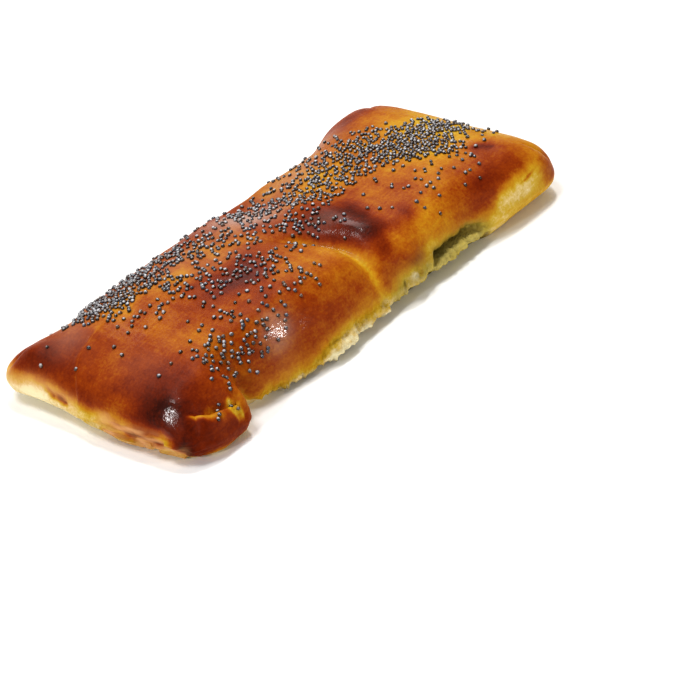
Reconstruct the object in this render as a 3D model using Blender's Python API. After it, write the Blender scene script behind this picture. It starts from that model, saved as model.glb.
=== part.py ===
"""Cheese khachapuri from the tandoor: one flat loaf, folded shut like a parcel, with one side torn.

The loaf lies on its base with +Z up. Its long side runs along X, from the glossy folded end at -X
to the plain end at +X, and its torn side faces -Y. The origin is under its middle, at the height of
its base. Sizes below are millimetres and become metres where the mesh is written.
"""

import math
import random

import bmesh
import bpy
import numpy as np
from mathutils import Matrix, Vector

MM = 0.001
NAME = "khachapuri"
BASE_FLATNESS = 0.01

# Whole loaf
LENGTH = 154.0
WIDTH = 70.0
CROWN = 18.5
SKEW = -0.04
EDGE_EASE = 0.55

# Outline: corner radii, and how far each stretch of side is drawn in from the rectangle
NEAR_LEFT_CORNER = 7.0
NEAR_RIGHT_CORNER = 9.0
FAR_LEFT_CORNER = 11.0
FAR_RIGHT_CORNER = 9.0
CORNER_BLEND_X = 10.0
CORNER_BLEND_Y = 5.0
LEFT_DRAWN_IN = 4.5
LEFT_DRAWN = (-64.0, 50.0)
LEFT_SOFTNESS = 12.0
LEFT_WAIST_X = 36.0
LEFT_WAIST_DEPTH = 1.8
LEFT_WAIST_REACH = 18.0
LEFT_NICK_X = -61.0
LEFT_NICK_DEPTH = 2.0
LEFT_NICK_REACH = 7.0
RIGHT_DRAWN_IN = 4.0
RIGHT_DRAWN = (-60.0, 44.0)
RIGHT_SOFTNESS = 10.0
RIGHT_WAIST_X = -49.0
RIGHT_WAIST_DEPTH = 3.6
RIGHT_WAIST_REACH = 12.0
NEAR_END_BOW = 2.0
BOW_START = 30.0

# Shoulders: how far in from the rim the crust takes to reach its full height
NEAR_SHOULDER = 20.0
FAR_SHOULDER = 16.0
LEFT_SHOULDER = 20.0
RIGHT_SHOULDER = 14.0
SHOULDER_BLEND_X = 20.0
SHOULDER_BLEND_Y = 8.0
SHOULDER_FULLNESS = 2.2
SHOULDER_STEEPNESS = 0.55

# Rim: the height at which the crust turns over into the side, and the side's own profile
PLAIN_RIM = 8.5
NEAR_RIM = 7.0
NEAR_RIM_FADE = (45.0, 70.0)
SIDE_BULGE = 0.9
BASE_TUCK = 2.6
FAR_TUCK = 2.2
FAR_TUCK_FADE = ((42.0, 54.0), (8.0, 24.0))
NEAR_TUCK = 3.4
NEAR_TUCK_FADE = ((52.0, 66.0), (6.0, 24.0))

# Pillows, the ridge between them, the crease beside it, and the dip and fold on the left
NEAR_PILLOW = (-27.0, -1.0)
NEAR_PILLOW_REACH = (27.0, 25.0)
NEAR_PILLOW_RISE = 3.0
FAR_PILLOW = (44.0, -8.0)
FAR_PILLOW_REACH = (22.0, 20.0)
FAR_PILLOW_RISE = 1.4
RIDGE_X = 8.5
RIDGE_REACH = 6.0
RIDGE_RISE = 2.4
RIDGE_ENDS = (-24.0, 6.0)
RIDGE_SOFTNESS = 6.0
CREASE_X = -0.4
CREASE_Y = -20.0
CREASE_CURL = 0.02
CREASE_REACH = 2.8
CREASE_DEPTH = 3.6
CREASE_FADE = (-4.0, 10.0)
LEFT_DIP = (9.0, 22.0)
LEFT_DIP_REACH = (11.0, 10.0)
LEFT_DIP_DEPTH = 3.2
LEFT_FOLD = (12.0, 27.0)
LEFT_FOLD_REACH = (14.0, 2.6)
LEFT_FOLD_RISE = 1.6
SMALL_DOMES = (((-32.0, -19.0), (12.0, 7.0), 0.9), ((-73.0, -19.0), (5.5, 4.5), 0.6),
               ((-74.0, 28.0), (4.5, 5.0), 4.0))
NOTCH_HOLLOW = ((-53.0, -24.0), (6.5, 6.0), 5.0)

# Lobe of dough at the near right corner, the cleft that parts it from the crust, and the notch beside it
LOBE_END_X = -58.0
LOBE_END_SOFTNESS = 1.5
LOBE_DRAWN_IN = 2.8
LOBE_HEIGHT = 10.0
LOBE_RIM = 5.0
LOBE_SHOULDER = 3.6
LOBE_FADE = (-16.0, -10.0)
CLEFT_START_X = -71.0
CLEFT_Y = -22.6
CLEFT_LEAN = 0.40
CLEFT_HEIGHT = 9.4
CLEFT_MIDDLE = -0.2
CLEFT_REACH = 0.9
CLEFT_DEPTH = 1.5
CLEFT_STEP = (-0.5, 0.3)
CLEFT_FADE_IN = (-2.0, 5.0)
CLEFT_FADE_OUT = (-1.5, 0.5)
CRUST_BEHIND_CLEFT = 9.0
NOTCH_X = -53.5
NOTCH_REACH = 3.0
NOTCH_DEPTH = 3.6
NOTCH_STEEPNESS = 5

# Flap that folds over the near left corner
FLAP_X = -64.0
FLAP_Y = 15.0
FLAP_LEAN = 0.2
FLAP_STEP = 0.4
FLAP_EDGE = 1.2
FLAP_FADE = (3.0, 16.0)
FLAP_TAPER = 8.0

# Torn side: its stretch, the height and undercut of the ragged lip, and where the lip hangs or stands high
TORN_SIDE_FADE = (22.0, 27.0)
TEAR = (-50.0, 44.0)
TEAR_SOFTNESS = 4.0
TEAR_RIM_SOFTNESS = 7.0
THIN_TEAR_RIM = 3.4
TEAR_RIM = 6.0
WIDE_TEAR_X = -28.0
WIDE_TEAR_SOFTNESS = 5.0
TEAR_UNDERCUT = 3.4
UNDERCUT_SHARE = 0.22
HANGING_UNDERCUT_SHARE = 0.08
UNDERCUT_SOFTNESS = 0.10
JAG_SHARE = 0.26
JAG_WAVES = ((0.41, 0.6, 0.6), (0.97, 1.9, 0.4))
HANGING_LIP = (-26.0, -15.5)
HANGING_LIP_FADE = (3.0, 1.0)
HANGING_LIP_OUT = 2.6
HIGH_LIP = (-14.5, -0.5)
HIGH_LIP_SOFTNESS = 0.7
HIGH_LIP_OUT = 1.2
LIP_SHARE = 0.58
LIP_REACH = 0.30

# Open seam under the crust of the torn side, its lower lip, and the knob of crumb beside it
SEAM = (20.0, 40.0)
SEAM_START_SOFTNESS = 1.5
SEAM_TAPER = (-7.0, 5.0)
SEAM_RIM = 8.8
SEAM_DEPTH = 4.8
SEAM_MIDDLE = 0.84
SEAM_OPENING = 0.13
SEAM_UNDERCUT = (0.16, 0.42)
LOWER_LIP_SHARE = 0.54
LOWER_LIP_REACH = 0.16
LOWER_LIP_OUT = 1.9
KNOB_X = 11.5
KNOB_REACH = 4.0
KNOB_OUT = 2.6
KNOB_SHARE = 0.70
KNOB_SHARE_REACH = 0.40
KNOB_RIM_RISE = 3.0
KNOB_RIM_SPREAD = 1.6

# Cells of the loaf's surface: how many, and how far they crowd toward the near end and the torn side
GRID_ALONG = 68
GRID_ACROSS = 28
GRID_UP = 6
CROWDED_ALONG = (-0.60, -0.74)
CROWDED_ACROSS = (-0.50, -0.60)

# Poppy seeds fused to the crust, and where they lie: middle, reach and share of each patch
SEED_LENGTH = 1.35
SEED_WIDTH = 1.15
SEED_SUNK = 0.22
SEED_GAP = 2.0
SEED_COUNT = 155
SEED_DRAW = 7
STEEPEST_SEEDED = 0.35
SEED_PATCHES = (
    ((-47.0, 19.0), (8.0, 4.0), 0.22),
    ((-29.0, 14.0), (10.0, 6.0), 0.14),
    ((-29.0, -4.0), (8.0, 4.5), 0.08),
    ((-51.0, -19.0), (6.0, 3.5), 0.05),
    ((-12.0, 9.0), (11.0, 7.0), 0.10),
    ((20.0, 8.0), (13.0, 6.0), 0.11),
    ((47.0, -4.0), (8.0, 7.0), 0.18),
    ((60.0, -6.0), (7.0, 5.0), 0.07),
    ((0.0, 2.0), (45.0, 18.0), 0.05),
)

CRUST_COLOUR = (0.42, 0.13, 0.025, 1.0)
CRUST_ROUGHNESS = 0.32


def ramp(value, low, high):
    """0 before low, 1 past high, and a smooth step between them."""
    share = np.clip((value - low) / (high - low), 0.0, 1.0)
    return share * share * (3.0 - 2.0 * share)


def bump(value, middle, reach):
    """1 at the middle, falling off smoothly over the reach."""
    return np.exp(-(((value - middle) / reach) ** 2))


def plateau(value, middle, reach):
    """Like a bump, with a flatter top and steeper flanks."""
    return np.exp(-(((value - middle) / reach) ** 4))


def between(value, ends, soft):
    """1 between the two ends, with soft edges."""
    return ramp(value, ends[0] - soft, ends[0] + soft) * (1.0 - ramp(value, ends[1] - soft, ends[1] + soft))


def mix(start, end, share):
    return start + share * (end - start)


def shoulder(distance, reach):
    """Rise of the crust from 0 at the rim to 1 at the reach, steepest at the rim."""
    left = 1.0 - np.clip(distance / reach, 0.0, 1.0)
    return (1.0 - left**SHOULDER_FULLNESS) ** SHOULDER_STEEPNESS


def jags(x):
    """Uneven teeth along the torn lip, from 0 to 1: two rows of unlike spacing."""
    return sum(share * np.abs(np.sin(pace * x + start)) for pace, start, share in JAG_WAVES)


def corner_radius(x, y):
    far = ramp(x, -CORNER_BLEND_X, CORNER_BLEND_X)
    left = ramp(y, -CORNER_BLEND_Y, CORNER_BLEND_Y)
    near_radius = mix(NEAR_RIGHT_CORNER, NEAR_LEFT_CORNER, left)
    far_radius = mix(FAR_RIGHT_CORNER, FAR_LEFT_CORNER, left)
    return mix(near_radius, far_radius, far)


def round_corners(x, y):
    """Rounds the corners of a rectangular sheet: each point's new place, and its share of outward push."""
    radius = corner_radius(x, y)
    over_x = np.maximum(np.abs(x) - (LENGTH / 2 - radius), 0.0)
    over_y = np.maximum(np.abs(y) - (WIDTH / 2 - radius), 0.0)
    diagonal = np.maximum(np.hypot(over_x, over_y), 1e-9)
    squeeze = np.maximum(over_x, over_y) / diagonal
    over_x = over_x * squeeze
    over_y = over_y * squeeze
    round_x = np.sign(x) * (np.minimum(np.abs(x), LENGTH / 2 - radius) + over_x)
    round_y = np.sign(y) * (np.minimum(np.abs(y), WIDTH / 2 - radius) + over_y)
    return round_x, round_y, np.sign(x) * over_x / radius, np.sign(y) * over_y / radius


def pull_sides(x, y):
    """Draws the sides in: waists, the notch beside the lobe, the bowed near end, and the skew."""
    to_left = np.clip(y / (WIDTH / 2), 0.0, 1.0)
    to_right = np.clip(-y / (WIDTH / 2), 0.0, 1.0)
    left = LEFT_WAIST_DEPTH * bump(x, LEFT_WAIST_X, LEFT_WAIST_REACH)
    left = left + LEFT_NICK_DEPTH * bump(x, LEFT_NICK_X, LEFT_NICK_REACH)
    left = left + LEFT_DRAWN_IN * between(x, LEFT_DRAWN, LEFT_SOFTNESS)
    right = RIGHT_WAIST_DEPTH * bump(x, RIGHT_WAIST_X, RIGHT_WAIST_REACH)
    right = right + RIGHT_DRAWN_IN * between(x, RIGHT_DRAWN, RIGHT_SOFTNESS)
    right = mix(LOBE_DRAWN_IN, right, ramp(x, LOBE_END_X - LOBE_END_SOFTNESS, LOBE_END_X + LOBE_END_SOFTNESS))
    right = right + NOTCH_DEPTH * bump(x, NOTCH_X, NOTCH_REACH) * to_right**NOTCH_STEEPNESS
    bow = NEAR_END_BOW * to_right**2 * ramp(-x, BOW_START, LENGTH / 2)
    return x + bow, y - left * to_left + right * to_right + SKEW * x


def on_torn_side(y):
    return ramp(-y, TORN_SIDE_FADE[0], TORN_SIDE_FADE[1])


def seam_stretch(x):
    """1 along the open seam, ending short at the near end and tapering at the far one."""
    start = ramp(x, SEAM[0] - SEAM_START_SOFTNESS, SEAM[0] + SEAM_START_SOFTNESS)
    return start * (1.0 - ramp(x, SEAM[1] + SEAM_TAPER[0], SEAM[1] + SEAM_TAPER[1]))


def rim_height(x, y):
    """Height of the crust's lower edge round the loaf."""
    height = mix(PLAIN_RIM, NEAR_RIM, ramp(-x, NEAR_RIM_FADE[0], NEAR_RIM_FADE[1]))
    wide = ramp(x, WIDE_TEAR_X - WIDE_TEAR_SOFTNESS, WIDE_TEAR_X + WIDE_TEAR_SOFTNESS)
    tear = mix(THIN_TEAR_RIM, TEAR_RIM, wide)
    height = mix(height, tear, on_torn_side(y) * between(x, TEAR, TEAR_RIM_SOFTNESS))
    height = height + KNOB_RIM_RISE * on_torn_side(y) * bump(x, KNOB_X, KNOB_RIM_SPREAD * KNOB_REACH)
    return mix(height, SEAM_RIM, on_torn_side(y) * seam_stretch(x))


def crease_line(y):
    return CREASE_X - CREASE_CURL * (y - CREASE_Y) ** 2


def crown_height(x, y):
    """Height of the crust away from its shoulders: pillows, ridge, crease, dip and fold."""
    near_pillow = plateau(x, NEAR_PILLOW[0], NEAR_PILLOW_REACH[0])
    near_pillow = near_pillow * plateau(y, NEAR_PILLOW[1], NEAR_PILLOW_REACH[1])
    far_pillow = bump(x, FAR_PILLOW[0], FAR_PILLOW_REACH[0]) * bump(y, FAR_PILLOW[1], FAR_PILLOW_REACH[1])
    ridge = bump(x, RIDGE_X, RIDGE_REACH) * between(y, RIDGE_ENDS, RIDGE_SOFTNESS)
    crease = bump(x, crease_line(y), CREASE_REACH) * ramp(-y, CREASE_FADE[0], CREASE_FADE[1])
    dip = bump(x, LEFT_DIP[0], LEFT_DIP_REACH[0]) * bump(y, LEFT_DIP[1], LEFT_DIP_REACH[1])
    fold = bump(x, LEFT_FOLD[0], LEFT_FOLD_REACH[0]) * bump(y, LEFT_FOLD[1], LEFT_FOLD_REACH[1])
    height = CROWN + NEAR_PILLOW_RISE * near_pillow + FAR_PILLOW_RISE * far_pillow + RIDGE_RISE * ridge
    for middle, reach, rise in SMALL_DOMES:
        height = height + rise * bump(x, middle[0], reach[0]) * bump(y, middle[1], reach[1])
    middle, reach, depth = NOTCH_HOLLOW
    height = height - depth * bump(x, middle[0], reach[0]) * bump(y, middle[1], reach[1])
    return height - CREASE_DEPTH * crease - LEFT_DIP_DEPTH * dip + LEFT_FOLD_RISE * fold


def flap_step(x, y):
    """Step of the crust where the flap's edge lies over the near left corner."""
    past_edge = x - FLAP_X + FLAP_LEAN * (y - FLAP_Y)
    flap = ramp(past_edge, -FLAP_EDGE, FLAP_EDGE) * (1.0 - ramp(past_edge, FLAP_FADE[0], FLAP_FADE[1]))
    return FLAP_STEP * flap * ramp(y, FLAP_Y - FLAP_TAPER, FLAP_Y)


def past_cleft(x, y):
    """How far a place lies on the crust's side of the cleft; less than 0 on the lobe."""
    return y - CLEFT_Y + CLEFT_LEAN * (x - CLEFT_START_X)


def lobe_stretch(x):
    """1 along the lobe and its cleft, fading at both ends."""
    start = ramp(x, CLEFT_START_X + CLEFT_FADE_IN[0], CLEFT_START_X + CLEFT_FADE_IN[1])
    return start * (1.0 - ramp(x, LOBE_END_X + CLEFT_FADE_OUT[0], LOBE_END_X + CLEFT_FADE_OUT[1]))


def part_lobe(x, y, top, to_side):
    """Draws the crust down to the cleft, and rounds the lobe that lies beyond it."""
    past = past_cleft(x, y)
    crust = mix(CLEFT_HEIGHT, top, shoulder(np.maximum(past, 0.0), CRUST_BEHIND_CLEFT))
    lobe = mix(LOBE_RIM, LOBE_HEIGHT, shoulder(to_side, LOBE_SHOULDER))
    lobe = lobe - CLEFT_DEPTH * bump(past, CLEFT_MIDDLE, CLEFT_REACH)
    parted = np.minimum(mix(lobe, crust, ramp(past, CLEFT_STEP[0], CLEFT_STEP[1])), top)
    return mix(top, parted, lobe_stretch(x) * (1.0 - ramp(y, LOBE_FADE[0], LOBE_FADE[1])))


def base_tuck(x, y):
    """How far the foot of the side is tucked in under the loaf."""
    far_x, far_y = FAR_TUCK_FADE
    near_x, near_y = NEAR_TUCK_FADE
    tuck = BASE_TUCK + FAR_TUCK * ramp(x, far_x[0], far_x[1]) * ramp(-y, far_y[0], far_y[1])
    return tuck + NEAR_TUCK * ramp(-x, near_x[0], near_x[1]) * ramp(y, near_y[0], near_y[1])


def torn_profile(x, height_share):
    """The ragged lip, which hangs or stands out in places, and the hollow beneath it."""
    hanging = ramp(x, HANGING_LIP[0] - HANGING_LIP_FADE[0], HANGING_LIP[0] + HANGING_LIP_FADE[0])
    hanging = hanging * (1.0 - ramp(x, HANGING_LIP[1], HANGING_LIP[1] + HANGING_LIP_FADE[1]))
    high = between(x, HIGH_LIP, HIGH_LIP_SOFTNESS)
    lip_edge = mix(UNDERCUT_SHARE, HANGING_UNDERCUT_SHARE, hanging) + JAG_SHARE * jags(x)
    under = 1.0 - ramp(height_share, lip_edge - UNDERCUT_SOFTNESS, lip_edge + UNDERCUT_SOFTNESS)
    lip = (HANGING_LIP_OUT * hanging + HIGH_LIP_OUT * high) * bump(height_share, LIP_SHARE, LIP_REACH)
    return lip - TEAR_UNDERCUT * under


def seam_profile(height_share):
    """The open seam, with a lip of crumb below it and a hollow below that."""
    lower_lip = LOWER_LIP_OUT * bump(height_share, LOWER_LIP_SHARE, LOWER_LIP_REACH)
    opened = lower_lip - SEAM_DEPTH * plateau(height_share, SEAM_MIDDLE, SEAM_OPENING)
    return opened - TEAR_UNDERCUT * (1.0 - ramp(height_share, SEAM_UNDERCUT[0], SEAM_UNDERCUT[1]))


def side_profile(x, y, height_share):
    """How far the side stands out of the outline at each share of the rim's height."""
    bulge = SIDE_BULGE * 4.0 * height_share * (1.0 - height_share)
    plain = bulge - base_tuck(x, y) * (1.0 - height_share) ** 2
    torn = on_torn_side(y)
    knob = KNOB_OUT * bump(x, KNOB_X, KNOB_REACH) * bump(height_share, KNOB_SHARE, KNOB_SHARE_REACH)
    out = mix(plain, torn_profile(x, height_share), torn * between(x, TEAR, TEAR_SOFTNESS))
    out = mix(out, seam_profile(height_share), torn * seam_stretch(x))
    return out + torn * knob


def loaf_form(u, v, w):
    """Turns points on a cube of half size 1 into points of the loaf, in millimetres."""
    sheet_x = LENGTH / 2 * mix(u, np.sin(u * math.pi / 2), EDGE_EASE)
    sheet_y = WIDTH / 2 * mix(v, np.sin(v * math.pi / 2), EDGE_EASE)
    end_shoulder = mix(FAR_SHOULDER, NEAR_SHOULDER, ramp(-sheet_x, -SHOULDER_BLEND_X, SHOULDER_BLEND_X))
    side_shoulder = mix(RIGHT_SHOULDER, LEFT_SHOULDER, ramp(sheet_y, -SHOULDER_BLEND_Y, SHOULDER_BLEND_Y))
    rise = shoulder(LENGTH / 2 - np.abs(sheet_x), end_shoulder)
    rise = rise * shoulder(WIDTH / 2 - np.abs(sheet_y), side_shoulder)
    round_x, round_y, out_x, out_y = round_corners(sheet_x, sheet_y)
    x, y = pull_sides(round_x, round_y)
    top = mix(rim_height(x, y), crown_height(x, y), rise) + flap_step(x, y) * rise**0.5
    top = part_lobe(x, y, top, WIDTH / 2 - np.abs(sheet_y))
    height_share = (w + 1.0) / 2.0
    out = side_profile(x, y, height_share)
    return x + out * out_x, y + out * out_y, top * height_share


def divided_cube():
    """A cube of half size 1, cut into the loaf's grid."""
    mesh = bmesh.new()
    bmesh.ops.create_cube(mesh, size=2.0)
    for axis, count in ((0, GRID_ALONG), (1, GRID_ACROSS), (2, GRID_UP)):
        along = [edge for edge in mesh.edges if abs((edge.verts[0].co - edge.verts[1].co)[axis]) > 1.5]
        bmesh.ops.subdivide_edges(mesh, edges=along, cuts=count - 1, use_grid_fill=True)
    return mesh


def crowd(values, bend):
    """Draws even steps from -1 to 1 together at the low end: the bend's first place goes to its second."""
    return np.interp(values, (-1.0, bend[0], 1.0), (-1.0, bend[1], 1.0))


def build_loaf(material, collection):
    mesh = divided_cube()
    cube = np.array([vertex.co[:] for vertex in mesh.verts])
    u = crowd(cube[:, 0], CROWDED_ALONG)
    v = crowd(cube[:, 1], CROWDED_ACROSS)
    for vertex, x, y, z in zip(mesh.verts, *loaf_form(u, v, cube[:, 2])):
        vertex.co = Vector((x, y, z)) * MM
    base = [face for face in mesh.faces if max(vertex.co.z for vertex in face.verts) < BASE_FLATNESS * MM]
    bmesh.ops.dissolve_faces(mesh, faces=base)
    bmesh.ops.recalc_face_normals(mesh, faces=mesh.faces)
    bmesh.ops.triangulate(mesh, faces=mesh.faces)
    data = bpy.data.meshes.new(NAME)
    mesh.to_mesh(data)
    mesh.free()
    data.materials.append(material)
    data.shade_smooth()
    loaf = bpy.data.objects.new(NAME, data)
    collection.objects.link(loaf)
    return loaf


def seed_places(loaf):
    """Draws the seeds' places on the crust, patch by patch, each clear of the others."""
    draw = random.Random(SEED_DRAW)
    shares = [share for middle, reach, share in SEED_PATCHES]
    places = []
    while len(places) < SEED_COUNT:
        middle, reach, share = draw.choices(SEED_PATCHES, shares)[0]
        x = draw.gauss(middle[0], reach[0])
        y = draw.gauss(middle[1], reach[1])
        turn = draw.uniform(0.0, math.pi)
        hit, point, normal, index = loaf.ray_cast(Vector((x, y, 2.0 * CROWN)) * MM, Vector((0, 0, -1)))
        clear = all((point - other).length > SEED_GAP * MM for other, other_normal, other_turn in places)
        if hit and clear and normal.z > STEEPEST_SEEDED:
            places.append((point, normal, turn))
    return places


def seed_data():
    mesh = bmesh.new()
    bmesh.ops.create_icosphere(mesh, subdivisions=1, radius=0.5 * MM)
    data = bpy.data.meshes.new("seed")
    mesh.to_mesh(data)
    mesh.free()
    return data


def add_seeds(loaf, collection):
    """Small seeds pressed into the crust, joined to it by one union."""
    data = seed_data()
    seeds = bpy.data.collections.new("seeds")
    collection.children.link(seeds)
    size = Matrix.Diagonal((SEED_LENGTH, SEED_WIDTH, SEED_WIDTH, 1.0))
    for number, (point, normal, turn) in enumerate(seed_places(loaf)):
        seed = bpy.data.objects.new("seed_%03d" % number, data)
        centre = point + normal * (0.5 - SEED_SUNK) * SEED_WIDTH * MM
        stand = normal.to_track_quat("Z", "Y").to_matrix().to_4x4()
        seed.matrix_world = Matrix.Translation(centre) @ stand @ Matrix.Rotation(turn, 4, "Z") @ size
        seeds.objects.link(seed)
    union = loaf.modifiers.new("seeds", "BOOLEAN")
    union.operation = "UNION"
    union.operand_type = "COLLECTION"
    union.collection = seeds
    union.solver = "MANIFOLD"
    fused = bpy.data.meshes.new_from_object(loaf.evaluated_get(bpy.context.evaluated_depsgraph_get()))
    loaf.modifiers.remove(union)
    loaf.data = fused
    for seed in list(seeds.objects):
        bpy.data.objects.remove(seed)
    bpy.data.collections.remove(seeds)


def crust_material():
    material = bpy.data.materials.new("baked_crust")
    material.use_nodes = True
    shader = material.node_tree.nodes["Principled BSDF"]
    shader.inputs["Base Color"].default_value = CRUST_COLOUR
    shader.inputs["Roughness"].default_value = CRUST_ROUGHNESS
    shader.inputs["Metallic"].default_value = 0.0
    return material


def main():
    for thing in list(bpy.data.objects):
        bpy.data.objects.remove(thing)
    collection = bpy.data.collections.new("cheese_khachapuri")
    bpy.context.scene.collection.children.link(collection)
    loaf = build_loaf(crust_material(), collection)
    add_seeds(loaf, collection)


main()
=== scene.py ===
import math
import random

import bpy
import numpy as np
from mathutils import Matrix, Vector

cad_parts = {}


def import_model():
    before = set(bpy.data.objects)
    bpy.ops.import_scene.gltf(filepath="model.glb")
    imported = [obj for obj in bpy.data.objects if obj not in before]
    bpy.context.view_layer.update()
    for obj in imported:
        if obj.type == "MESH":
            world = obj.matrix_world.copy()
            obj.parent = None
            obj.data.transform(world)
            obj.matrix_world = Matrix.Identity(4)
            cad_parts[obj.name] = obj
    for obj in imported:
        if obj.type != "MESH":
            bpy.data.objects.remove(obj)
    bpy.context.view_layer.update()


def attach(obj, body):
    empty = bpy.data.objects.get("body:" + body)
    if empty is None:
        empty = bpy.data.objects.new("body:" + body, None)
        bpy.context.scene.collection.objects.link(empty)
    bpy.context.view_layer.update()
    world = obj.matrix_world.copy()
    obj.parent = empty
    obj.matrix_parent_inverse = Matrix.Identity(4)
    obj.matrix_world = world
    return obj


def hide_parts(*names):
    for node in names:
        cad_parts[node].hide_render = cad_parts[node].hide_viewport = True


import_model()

MM = 0.001

# Whole loaf, as in the CAD model, in millimetres
LENGTH = 154
WIDTH = 70
CROWN = 18.5
SKEW = -0.04
EDGE_EASE = 0.55

# Outline: corner radii, right and left, and how far the sides are drawn in. Stretches are given as ends and
# softness, waists as depth, middle and reach
NEAR_CORNERS = (9, 7)
FAR_CORNERS = (9, 11)
CORNER_BLEND_X = (-10, 10)
CORNER_BLEND_Y = (-5, 5)
LEFT_DRAWN_IN = 4.5
LEFT_DRAWN = ((-64, 50), 12)
LEFT_WAISTS = ((1.8, 36, 18), (2, -61, 7))
RIGHT_DRAWN_IN = 4
RIGHT_DRAWN = ((-60, 44), 10)
RIGHT_WAISTS = ((3.6, -49, 12),)
NEAR_END_BOW = 2
BOW_START = 30

# Shoulders: how far in from the rim the crust is at its full height, at the far and near end, right and left
END_SHOULDERS = (16, 20)
SIDE_SHOULDERS = (14, 20)
SHOULDER_BLEND_X = (-20, 20)
SHOULDER_BLEND_Y = (-8, 8)
SHOULDER_FULLNESS = 2.2
SHOULDER_STEEPNESS = 0.55

# Rim: the height at which the crust turns over into the side, and the side's own profile
PLAIN_RIM = 8.5
NEAR_RIM = 7
NEAR_RIM_FADE = (45, 70)
SIDE_BULGE = 0.9
BASE_TUCK = 2.6
# Deeper at the far right and the near left: depth, and fades along and across
CORNER_TUCKS = ((2.2, (42, 54), (-8, -24)), (3.4, (-52, -66), (6, 24)))

# Near pillow and ridge, as middle and reach, and the crease beside the ridge
NEAR_PILLOW = ((-27, 27), (-1, 25))
NEAR_PILLOW_RISE = 3
RIDGE = (8.5, 6)
RIDGE_RISE = 2.4
RIDGE_ENDS = ((-24, 6), 6)
CREASE_X = -0.4
CREASE_Y = -20
CREASE_CURL = 0.02
CREASE_REACH = 2.8
CREASE_DEPTH = 3.6
CREASE_FADE = (-4, 10)

# Domes and hollows, as rise, middle and reach: far pillow, dip and fold on the left, small domes, notch
DOMES = (
    (1.4, 44, -8, 22, 20),
    (-3.2, 9, 22, 11, 10),
    (1.6, 12, 27, 14, 2.6),
    (0.9, -32, -19, 12, 7),
    (0.6, -73, -19, 5.5, 4.5),
    (4, -74, 28, 4.5, 5),
    (-5, -53, -24, 6.5, 6),
)

# Lobe of dough at the near right corner, the cleft that parts it from the crust, and the notch beside it.
# Cleft and notch are given as depth, middle and reach
LOBE_END = (-59.5, -56.5)
LOBE_DRAWN_IN = 2.8
LOBE_HEIGHT = 10
LOBE_RIM = 5
LOBE_SHOULDER = 3.6
LOBE_FADE = (-16, -10)
CLEFT_START_X = -71
CLEFT_Y = -22.6
CLEFT_LEAN = 0.40
CLEFT_HEIGHT = 9.4
CLEFT = ((1.5, -0.2, 0.9),)
CLEFT_STEP = (-0.5, 0.3)
CLEFT_ENDS = ((-73, -66), (-59.5, -57.5))
CLEFT_SHOULDER = 9
NOTCH = ((3.6, -53.5, 3),)
NOTCH_STEEPNESS = 5

# Flap that folds over the near left corner
FLAP_X = -64
FLAP_Y = 15
FLAP_LEAN = 0.2
FLAP_STEP = 0.4
FLAP_EDGE = 1.2
FLAP_FADE = (3, 16)
FLAP_TAPER = 8

# Torn side: its stretch, the height and undercut of the ragged lip, and where the lip hangs or stands high
TORN_SIDE = (22, 27)
TEAR = (-50, 44)
TEAR_SOFTNESS = 4
RIM_SOFTNESS = 7
THIN_RIM = 3.4
TEAR_RIM = 6
WIDE_TEAR = (-33, -23)
UNDERCUT = 3.4
UNDERCUT_SHARE = 0.22
HANGING_SHARE = 0.08
UNDERCUT_SOFTNESS = 0.10
JAG_SHARE = 0.26
JAG_WAVES = ((0.41, 0.6, 0.6), (0.97, 1.9, 0.4))
HANGING_LIP = ((-29, -23), (-15.5, -14.5))
HANGING_LIP_OUT = 2.6
HIGH_LIP = ((-14.5, -0.5), 0.7)
HIGH_LIP_OUT = 1.2
LIP_UP = (0.58, 0.30)

# Open seam under the crust of the torn side, its lower lip, and the knob of crumb beside it, as middle and
# reach, with how far they stand out before them where rows have three values
SEAM_ENDS = ((18.5, 21.5), (33, 45))
SEAM_RIM = 8.8
SEAM_DEPTH = 4.8
SEAM_UP = (0.84, 0.13)
SEAM_UNDERCUT = (0.16, 0.42)
LOWER_LIP = ((1.9, 0.54, 0.16),)
KNOB = (11.5, 4)
KNOB_OUT = 2.6
KNOB_UP = (0.70, 0.40)
KNOB_RIM = ((3, 11.5, 6.4),)

# Fineness of the visible crust
CELLS_ALONG = 360
CELLS_ACROSS = 160
CELLS_UP = 26
BASE_RINGS = 8

# Random values on a lattice, which the noise runs through, and its steps from one noise or axis to the next
LATTICE_DRAW = 11
LATTICE_SIZE = 64
NUMBER_STEP = 7.3
AXIS_STEP = 3.1
LATTICE = np.random.default_rng(LATTICE_DRAW).uniform(-1.0, 1.0, (LATTICE_SIZE,) * 3)


def ramp(value, low, high):
    """0 before low, 1 past high, and a smooth step between them."""
    share = np.clip((value - low) / (high - low), 0, 1)
    return share * share * (3.0 - 2.0 * share)


def bump(value, middle, reach):
    """1 at the middle, falling off smoothly over the reach."""
    return np.exp(-(((value - middle) / reach) ** 2))


def before(value, fade):
    """1 before the fade, 0 past it."""
    return 1.0 - ramp(value, *fade)


def within(value, fades):
    """1 between the first fade, which rises, and the second, which falls."""
    return ramp(value, *fades[0]) * before(value, fades[1])


def humps(value, rows):
    """Sum of bumps, given as rows of height, middle and reach."""
    return sum(height * bump(value, middle, reach) for height, middle, reach in rows)


def patch(x, y, middle_x, middle_y, reach_x, reach_y, turn=0):
    """1 in the middle of an oval patch, turned by degrees, falling off smoothly."""
    angle = math.radians(turn)
    along = (x - middle_x) * math.cos(angle) + (y - middle_y) * math.sin(angle)
    across = (y - middle_y) * math.cos(angle) - (x - middle_x) * math.sin(angle)
    return np.exp(-((along / reach_x) ** 2) - (across / reach_y) ** 2)


def patches(x, y, rows):
    """Sum of patches, given as rows of amount, middle, reach and turn, where they have one."""
    return sum(amount * patch(x, y, *place) for amount, *place in rows)


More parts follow.
